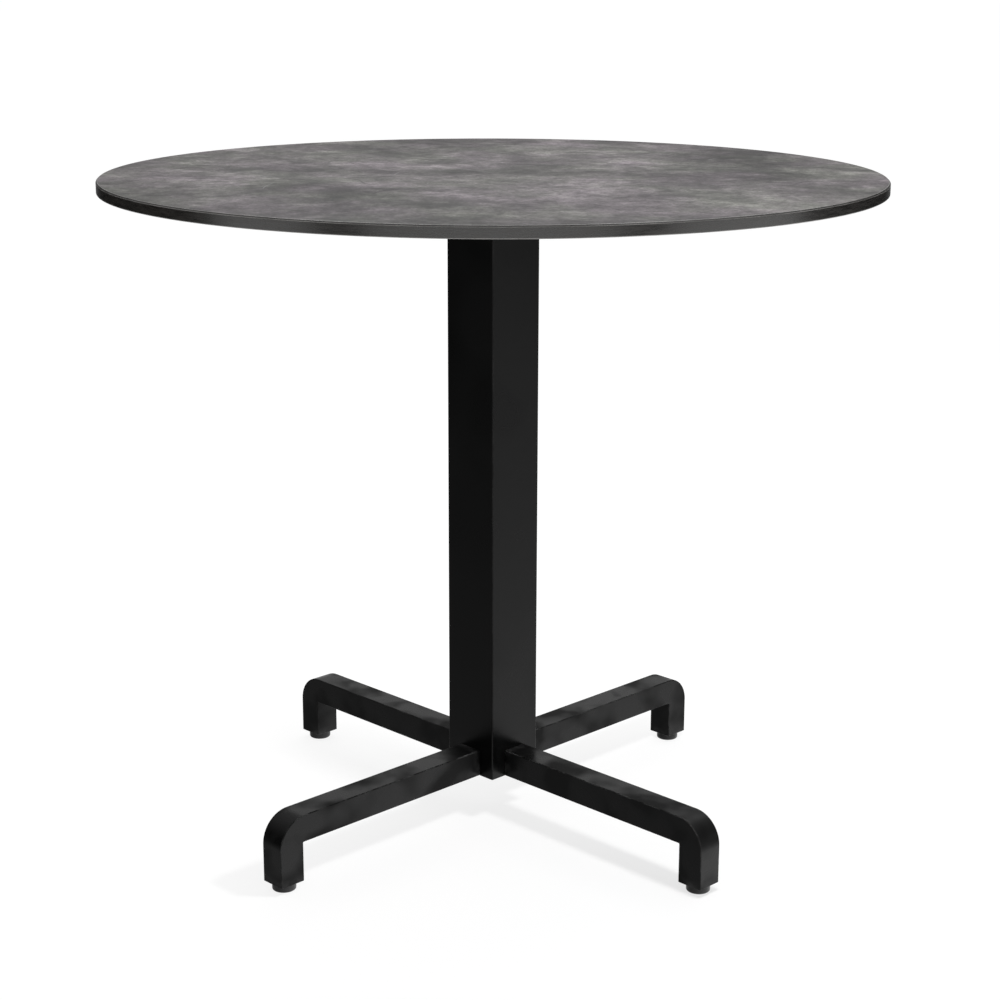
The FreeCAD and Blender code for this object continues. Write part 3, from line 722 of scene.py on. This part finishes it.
def threaded_rings(radius, pitch, low, high):
    """Rings up a thread, from the plain core at one end to the plain core at the other."""
    depth = THREAD_DEPTH_SHARE * pitch
    count = max(1, round((high - low) / pitch * THREAD_ROWS))
    rings = []
    for row in range(count + 1):
        height = low + (high - low) * row / count
        fade = min(1, row / THREAD_ROWS, (count - row) / THREAD_ROWS)
        outline = thread_outline(radius - depth * (1 - fade), pitch, height, depth * fade)
        rings.append(ring(outline, height, THREAD_POINTS))
    return rings


def cap_screw_rings(length):
    """A socket cap screw standing on its head's top at height 0, with its shank up."""
    count = THREAD_POINTS
    edge = 0.5 * MM
    socket = hexagon_outline(SCREW_SOCKET_WIDTH)
    lead_in = round_outline(SCREW_SOCKET_WIDTH / math.sqrt(3) + edge / 2)
    head = [
        (socket, SCREW_SOCKET_DEPTH),
        (socket, edge / 2),
        (lead_in, 0),
        (round_outline(SCREW_HEAD_RADIUS - edge), 0),
        (round_outline(SCREW_HEAD_RADIUS - edge * 0.3), edge * 0.3),
        (round_outline(SCREW_HEAD_RADIUS), edge),
        (round_outline(SCREW_HEAD_RADIUS), SCREW_HEAD_HEIGHT),
        (round_outline(SCREW_RADIUS), SCREW_HEAD_HEIGHT),
    ]
    rings = [ring(outline, height, count) for outline, height in head]
    return rings + threaded_rings(SCREW_RADIUS, SCREW_PITCH, SCREW_HEAD_HEIGHT + edge, length)


def washer_rings(inner, outer, low, high):
    """A flat washer with softened edges, as a closed loop of rings."""
    edge = 0.2 * MM
    profile = [(inner, low), (outer - edge, low), (outer, low + edge), (outer, high - edge),
               (outer - edge, high), (inner, high)]
    return [ring(round_outline(radius), height) for radius, height in profile]


def make_top_fixings():
    """The eight cap screws under the top and their washers."""
    screw_low, screw_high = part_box("top_screws")
    washer_low, washer_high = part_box("top_washers")
    screws, washers = bmesh.new(), bmesh.new()
    outer = turned_box("top_washers", DIAGONAL)[1].x - CROSS_SCREW_REACH
    for place in screw_places():
        shift = Matrix.Translation((place.x, place.y, 0))
        lift = Matrix.Translation((0, 0, screw_low.z))
        loft(screws, moved(cap_screw_rings(screw_high.z - screw_low.z), shift @ lift))
        rings = washer_rings(SCREW_CLEAR_RADIUS, outer, washer_low.z, washer_high.z)
        loft(washers, moved(rings, shift), closed=True)
    add_piece("top_screws", screws, "frame", [zinc])
    add_piece("top_washers", washers, "frame", [zinc])


def arm_screw_levels():
    """Heights of the two screws that hold each arm, from the lowest and highest head."""
    low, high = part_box("arm_screws")
    return low.z + SCREW_HEAD_RADIUS, high.z - SCREW_HEAD_RADIUS


def make_arm_fixings():
    """The eight cap screws inside the hub, which hold the arms, and their washers."""
    screws, washers = bmesh.new(), bmesh.new()
    reach = turned_box("arm_screws", DIAGONAL)[1].x
    seat = turned_box("arm_washers", DIAGONAL)[1].x
    washer_radius = (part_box("arm_washers")[1].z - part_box("arm_washers")[0].z
                     - (arm_screw_levels()[1] - arm_screw_levels()[0])) / 2
    washer_seat = seat - SCREW_WASHER_THICKNESS
    head_top = washer_seat - SCREW_HEAD_HEIGHT
    for angle in ARM_ANGLES.values():
        for level in arm_screw_levels():
            lay = across(angle, level)
            place = lay @ Matrix.Translation((0, 0, head_top))
            loft(screws, moved(cap_screw_rings(reach - head_top), place))
            rings = washer_rings(SCREW_CLEAR_RADIUS, washer_radius, washer_seat, seat)
            loft(washers, moved(rings, lay), closed=True)
    add_piece("arm_screws", screws, "frame", [zinc])
    add_piece("arm_washers", washers, "frame", [zinc])


# --- the column and its cap ---------------------------------------------------------------

def add_arm_screw_cutters(mesh, radius, start, end, angles):
    """Level cylinders along the arms' screws, to cut holes with."""
    for angle in angles:
        for level in arm_screw_levels():
            rings = [ring(round_outline(radius), distance) for distance in (start, end)]
            loft(mesh, moved(rings, across(angle, level)))


def make_column():
    """The square tube, with softened ends and the holes of the arms' screws."""
    low, high = turned_box("column", DIAGONAL)
    half, edge = high.x, CUT_EDGE
    bore = half - COLUMN_WALL
    span = high.z - low.z - 2 * edge
    levels = [low.z + edge + span * step / COLUMN_STEPS for step in range(COLUMN_STEPS + 1)]
    outside = [rounded_square(half, COLUMN_CORNER, level) for level in levels]
    inside = [rounded_square(bore, BORE_CORNER, level) for level in reversed(levels)]
    start = rounded_square(half - edge, COLUMN_CORNER - edge, low.z)
    end = rounded_square(half - edge, COLUMN_CORNER - edge, high.z)
    inner_end = rounded_square(bore + edge, BORE_CORNER + edge, high.z)
    inner_start = rounded_square(bore + edge, BORE_CORNER + edge, low.z)
    mesh = bmesh.new()
    rings = [start, *outside, end, inner_end, *inside, inner_start]
    loft(mesh, moved(rings, Matrix.Rotation(DIAGONAL, 4, "Z")), closed=True)
    holes = bmesh.new()
    add_arm_screw_cutters(holes, SCREW_CLEAR_RADIUS, -2 * half, 2 * half,
                          [ARM_ANGLES["back_right"], ARM_ANGLES["back_left"]])
    mesh = combine(mesh, holes, "DIFFERENCE")
    add_piece("column", mesh, "frame", [column_coat])


def make_hub_cap():
    """The moulded cap that closes the column's lower end, with its four pegs."""
    low, high = turned_box("hub_cap", DIAGONAL)
    half, edge = high.x, CUT_EDGE
    plate_top = low.z + CAP_PLATE
    plate = [rounded_square(half - edge, HUB_CORNER - edge, low.z),
             rounded_square(half, HUB_CORNER, low.z + edge),
             rounded_square(half, HUB_CORNER, plate_top)]
    turn = Matrix.Rotation(DIAGONAL, 4, "Z")
    mesh = bmesh.new()
    loft(mesh, moved(plate, turn))
    place = half - CAP_PEG_INSET
    profile = [(CAP_PEG_RADIUS, plate_top - MM), (CAP_PEG_RADIUS, high.z - edge),
               (CAP_PEG_RADIUS - edge, high.z)]
    for x, y in ((1, 1), (-1, 1), (-1, -1), (1, -1)):
        peg = bmesh.new()
        rings = [ring(round_outline(radius), height) for radius, height in profile]
        loft(peg, moved(rings, turn @ Matrix.Translation((x * place, y * place, 0))))
        mesh = combine(mesh, peg, "UNION")
    add_piece("hub_cap", mesh, "frame", [cap_plastic])


# --- the arms -----------------------------------------------------------------------------

def arm_stations(start, reach, top, leg_end):
    """Pairs of outer and inner points along an arm's side view, from the column to the foot."""
    underside = top - ARM_DEPTH
    leg_inside = reach - LEG_DEPTH
    elbow = Vector((reach - ELBOW_RADIUS, top - ELBOW_RADIUS))
    crook = Vector((leg_inside - CROOK_RADIUS, underside - CROOK_RADIUS))
    stations = []
    for step in range(ARM_STEPS):
        share = step / ARM_STEPS
        stations.append((Vector((start + (elbow.x - start) * share, top)),
                         Vector((start + (crook.x - start) * share, underside))))
    for step in range(ELBOW_STEPS + 1):
        a = FULL_TURN / 4 * (1 - step / ELBOW_STEPS)
        out = Vector((math.cos(a), math.sin(a)))
        stations.append((elbow + ELBOW_RADIUS * out, crook + CROOK_RADIUS * out))
    for step in range(1, LEG_STEPS + 1):
        share = step / LEG_STEPS
        stations.append((Vector((reach, elbow.y + (leg_end - elbow.y) * share)),
                         Vector((leg_inside, crook.y + (leg_end - crook.y) * share))))
    return stations


def arm_section(outer, inner, half_width):
    """Points around the arm's rounded section between an outer and an inner point."""
    depth = (inner - outer).length
    along = (inner - outer) / depth
    near, far, side = ARM_EDGE, depth - ARM_EDGE, half_width - ARM_EDGE
    corners = [(near, side), (far, side), (far, -side), (near, -side)]
    points = []
    for quarter, (distance, offset) in enumerate(corners):
        for step in range(CORNER_STEPS + 1):
            a = FULL_TURN / 4 * (2 - quarter - step / CORNER_STEPS)
            flat = outer + along * (distance + ARM_EDGE * math.cos(a))
            points.append(Vector((flat.x, offset + ARM_EDGE * math.sin(a), flat.y)))
    return points


def make_arm(side):
    """One arm with its turned-down leg, tapped for its screws and for the glide."""
    angle = ARM_ANGLES[side]
    low, high = turned_box(f"arm_{side}", angle)
    half_width = (high.y - low.y) / 2
    stations = arm_stations(low.x, high.x, high.z, low.z + ARM_END_EDGE)
    rings = [arm_section(outer, inner, half_width) for outer, inner in stations]
    leg_middle = Vector((high.x - LEG_DEPTH / 2, 0, 0))
    share = 1 - 2 * ARM_END_EDGE / LEG_DEPTH
    last = [leg_middle + share * (point - leg_middle) for point in rings[-1]]
    rings.append([Vector((point.x, point.y, low.z)) for point in last])
    turn = Matrix.Rotation(angle, 4, "Z")
    mesh = bmesh.new()
    loft(mesh, moved(rings, turn))
    holes = bmesh.new()
    screw_end = turned_box("arm_screws", DIAGONAL)[1].x + 2 * MM
    add_arm_screw_cutters(holes, SCREW_TAP_RADIUS, low.x - MM, screw_end, [angle])
    stud_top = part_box(f"glide_stud_{side}")[1].z
    add_rods(holes, [turn @ leg_middle], STUD_RADIUS + RUNNING_GAP, low.z - MM, stud_top + 2 * MM)
    mesh = combine(mesh, holes, "DIFFERENCE")
    add_piece(f"arm_{side}", mesh, "frame", [arm_coat])


# --- the levelling glides -----------------------------------------------------------------

def glide_centre(side):
    """Where one foot stands."""
    low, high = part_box(f"glide_pad_{side}")
    return Matrix.Translation(((low.x + high.x) / 2, (low.y + high.y) / 2, 0))


def make_glide_pad(side):
    """The moulded foot, hollow for the stud's flange, with a hole for the key."""
    low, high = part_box(f"glide_pad_{side}")
    radius, edge = (high.x - low.x) / 2, 0.5 * MM
    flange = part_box(f"glide_stud_{side}")[0].z
    cavity_top = flange + STUD_FLANGE_THICKNESS + RUNNING_GAP
    cavity_radius = STUD_FLANGE_RADIUS + RUNNING_GAP
    neck = STUD_RADIUS + RUNNING_GAP
    profile = [(KEY_HOLE_RADIUS, 0)]
    for step in range(CORNER_STEPS + 1):
        a = FULL_TURN / 4 * step / CORNER_STEPS
        profile.append((radius - PAD_ROUND * (1 - math.sin(a)), PAD_ROUND * (1 - math.cos(a))))
    profile += [(radius, high.z - edge), (radius - edge * 0.3, high.z - edge * 0.3),
                (radius - edge, high.z), (neck, high.z), (neck, cavity_top),
                (cavity_radius, cavity_top), (cavity_radius, PAD_FLOOR),
                (KEY_HOLE_RADIUS, PAD_FLOOR)]
    rings = [ring(round_outline(reach), height, 2 * ROUND_POINTS) for reach, height in profile]
    mesh = bmesh.new()
    loft(mesh, moved(rings, glide_centre(side)), closed=True)
    add_piece(f"glide_pad_{side}", mesh, f"glide_pad_{side}", [pad_plastic])


def make_glide_stud(side):
    """The M8 stud: a flange with a hexagon socket below, and a real right-hand thread."""
    low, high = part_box(f"glide_stud_{side}")
    flange_radius, edge = (high.x - low.x) / 2, 0.4 * MM
    flange_top = low.z + STUD_FLANGE_THICKNESS
    core_radius = STUD_RADIUS - THREAD_DEPTH_SHARE * STUD_PITCH
    socket = hexagon_outline(STUD_SOCKET_WIDTH)
    foot = [
        (socket, low.z + STUD_SOCKET_DEPTH),
        (socket, low.z + edge / 2),
        (round_outline(STUD_SOCKET_WIDTH / math.sqrt(3) + edge / 2), low.z),
        (round_outline(flange_radius - edge), low.z),
        (round_outline(flange_radius), low.z + edge),
        (round_outline(flange_radius), flange_top - edge),
        (round_outline(flange_radius - edge), flange_top),
        (round_outline(core_radius), flange_top),
    ]
    rings = [ring(outline, height, THREAD_POINTS) for outline, height in foot]
    rings += threaded_rings(STUD_RADIUS, STUD_PITCH, flange_top + edge, high.z)
    mesh = bmesh.new()
    loft(mesh, moved(rings, glide_centre(side)))
    add_piece(f"glide_stud_{side}", mesh, f"glide_stud_{side}", [zinc])


# --- stage, lights and camera -------------------------------------------------------------

# The floor's own glow makes it white. The shadow lamp adds SHADOW_DEPTH right below itself.
FLOOR_REFLECTANCE = 0.2
FLOOR_GLOW = 0.92
FLOOR_HALF = 60
FLOOR_DROP = 0.2 * MM
BACKDROP_RADIUS = 50
SHADOW_DEPTH = 0.21
SHADOW_LAMP_PLACE = (0.27, -0.27, 0.66)
SHADOW_LAMP_SIZE = 0.1

# Brightness of the surroundings, and the heights and bearings over which each part fades.
# A height is the Z of a direction, and a bearing the cosine of its turn from straight behind.
SKY_ABOVE = 0.6
SKY_ABOVE_HEIGHTS = (0.2, 0.8)
SKY_BELOW = 1.0
SKY_BELOW_HEIGHTS = (-0.14, -0.42)
SKY_BELOW_SIDES = (-0.9, 0.9)
SKY_BELOW_SHARES = (0.4, 1.6)
SKY_BEHIND = 0.6
SKY_BEHIND_BEARINGS = (0.9, 0.99)
SKY_BEHIND_HEIGHTS = (-0.4, -0.1)
SKY_LEAST = 0.006

# Each softbox's place, target, width, height and brightness.
SOFTBOXES = {
    "right_box": ((2.2, -1.0, 0.4), (0, 0, 0.4), 1.9, 0.6, 1.35),
    "left_box": ((-2.1, -1.2, 0.4), (0, 0, 0.4), 1.3, 0.6, 1.3),
    "front_box": ((0, -3.2, 0.4), (0, 0, 0.4), 4.2, 0.7, 1.5),
    "overhead": ((0.2, 0.8, 2.2), (0, 0.3, 0.7), 2.2, 1.8, 1.85),
}

CAMERA_PLACE = (0.01321, -2.26829, 0.98253)
CAMERA_YAW = -0.0023
CAMERA_PITCH = 0.2624
CAMERA_ROLL = 0.0025
CAMERA_LENS = 74.69
CAMERA_SENSOR = 36


def make_floor():
    """A plain white floor that stays near white and shows the table lamp's pale shadows."""
    finish = Finish("studio_floor", Roughness=1, Specular_IOR_Level=0)
    finish.set("Base Color", grey(FLOOR_REFLECTANCE))
    finish.set("Emission Color", grey(1))

    # The lamp's own light falls off as (1 + (r/h)^2)^-2. The floor glows less by as much,
    # so that it is evenly white wherever nothing shades it.
    offset = finish.tree.nodes.new("ShaderNodeVectorMath")
    offset.operation = "DISTANCE"
    finish.plug(offset.inputs[0], finish.place)
    offset.inputs[1].default_value = (SHADOW_LAMP_PLACE[0], SHADOW_LAMP_PLACE[1], 0)
    share = finish.math("DIVIDE", offset.outputs["Value"], SHADOW_LAMP_PLACE[2])
    falloff = finish.math("POWER", finish.math("ADD", finish.math("POWER", share, 2), 1), -2)
    lamp_light = finish.math("MULTIPLY", falloff, SHADOW_DEPTH)
    finish.set("Emission Strength", finish.math("SUBTRACT", FLOOR_GLOW, lamp_light))

    # Seen from below, the floor isn't there, so that the underside can be looked at.
    beneath = finish.tree.nodes.new("ShaderNodeNewGeometry").outputs["Backfacing"]
    finish.set("Alpha", finish.math("SUBTRACT", 1, beneath))

    mesh = bpy.data.meshes.new("floor")
    signs = ((-1, -1), (1, -1), (1, 1), (-1, 1))
    corners = [(x * FLOOR_HALF, y * FLOOR_HALF, 0) for x, y in signs]
    mesh.from_pydata(corners, [], [(0, 1, 2, 3)])
    mesh.materials.append(finish.material)
    floor = bpy.data.objects.new("floor", mesh)
    bpy.context.scene.collection.objects.link(floor)
    floor.location.z = -FLOOR_DROP
    floor.visible_diffuse = False
    floor.visible_glossy = False


def make_backdrop():
    """A plain white dome that only the camera sees, so that every side has a pale background."""
    finish = Finish("studio_backdrop", Roughness=1, Specular_IOR_Level=0)
    finish.set("Base Color", grey(0))
    finish.set("Emission Color", grey(1))
    finish.set("Emission Strength", 1)
    mesh = bmesh.new()
    bmesh.ops.create_uvsphere(mesh, u_segments=ROUND_POINTS, v_segments=ROUND_POINTS,
                              radius=BACKDROP_RADIUS)
    dome = bpy.data.objects.new("backdrop", to_mesh(mesh, "backdrop"))
    dome.data.materials.append(finish.material)
    bpy.context.scene.collection.objects.link(dome)
    for rays in ("diffuse", "glossy", "transmission", "volume_scatter", "shadow"):
        setattr(dome, f"visible_{rays}", False)


def make_world():
    """What the surfaces reflect: dark in front, light behind, above and below."""
    world = bpy.data.worlds.new("studio")
    world.use_nodes = True
    bpy.context.scene.world = world
    sky = Nodes(world.node_tree)
    direction = sky.tree.nodes.new("ShaderNodeTexCoord").outputs["Generated"]
    split = sky.tree.nodes.new("ShaderNodeSeparateXYZ")
    sky.plug(split.inputs[0], direction)
    side, back, up = (split.outputs[axis] for axis in "XYZ")

    level = sky.math("ADD", sky.math("POWER", side, 2), sky.math("POWER", back, 2))
    bearing = sky.math("DIVIDE", back, sky.math("POWER", level, 0.5))
    above = sky.spread(up, *SKY_ABOVE_HEIGHTS, 0, SKY_ABOVE)
    below = sky.math("MULTIPLY", sky.spread(up, *SKY_BELOW_HEIGHTS, 0, SKY_BELOW),
                     sky.spread(side, *SKY_BELOW_SIDES, *SKY_BELOW_SHARES))
    behind = sky.math("MULTIPLY", sky.spread(bearing, *SKY_BEHIND_BEARINGS, 0, SKY_BEHIND),
                      sky.spread(up, *SKY_BEHIND_HEIGHTS))
    strength = sky.math("MAXIMUM", sky.math("ADD", above, below), behind)
    background = sky.tree.nodes.new("ShaderNodeBackground")
    sky.plug(background.inputs["Strength"], sky.math("ADD", strength, SKY_LEAST))
    sky.plug(background.inputs["Color"], grey(1))
    output = sky.tree.nodes.new("ShaderNodeOutputWorld")
    sky.plug(output.inputs["Surface"], background.outputs["Background"])


def add_softbox(name, place, target, width, height, radiance):
    """A rectangular area light aimed at a point, with a given brightness of its face."""
    lamp = bpy.data.lights.new(name, "AREA")
    lamp.shape = "RECTANGLE"
    lamp.size = width
    lamp.size_y = height
    lamp.energy = radiance * math.pi * width * height
    holder = bpy.data.objects.new(name, lamp)
    bpy.context.scene.collection.objects.link(holder)
    holder.location = place
    aim = Vector(target) - Vector(place)
    holder.rotation_euler = aim.to_track_quat("-Z", "Y").to_euler()
    holder.visible_camera = False
    return holder


def add_shadow_lamp():
    """A small lamp under the top, front right, that throws the arms' pale shadows."""
    floor_light = SHADOW_DEPTH / FLOOR_REFLECTANCE
    radiance = floor_light * math.pi * SHADOW_LAMP_PLACE[2] ** 2 / SHADOW_LAMP_SIZE ** 2
    below = (SHADOW_LAMP_PLACE[0], SHADOW_LAMP_PLACE[1], 0)
    lamp = add_softbox("shadow_lamp", SHADOW_LAMP_PLACE, below, SHADOW_LAMP_SIZE,
                       SHADOW_LAMP_SIZE, radiance)
    lamp.visible_glossy = False


def make_camera():
    """The camera at the photograph's viewing angle."""
    lens_data = bpy.data.cameras.new("camera")
    lens_data.sensor_width = CAMERA_SENSOR
    lens_data.lens = CAMERA_LENS
    camera = bpy.data.objects.new("camera", lens_data)
    bpy.context.scene.collection.objects.link(camera)
    aim = (Matrix.Rotation(-CAMERA_YAW, 4, "Z") @ Matrix.Rotation(-CAMERA_PITCH, 4, "X")
           @ Matrix.Rotation(-CAMERA_ROLL, 4, "Y"))
    upright = Matrix.Rotation(FULL_TURN / 4, 4, "X")
    camera.matrix_world = Matrix.Translation(CAMERA_PLACE) @ aim @ upright
    bpy.context.scene.camera = camera


for node, material in NODE_FINISHES.items():
    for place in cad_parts[node].material_slots:
        place.material = material
make_table_top()
make_top_cross()
make_top_fixings()
make_arm_fixings()
make_column()
make_hub_cap()
for arm_side in ARM_ANGLES:
    make_arm(arm_side)
    make_glide_pad(arm_side)
    make_glide_stud(arm_side)

make_floor()
make_backdrop()
make_world()
for box_name, box_values in SOFTBOXES.items():
    add_softbox(box_name, *box_values)
add_shadow_lamp()
make_camera()
bpy.context.scene.view_settings.view_transform = "Standard"
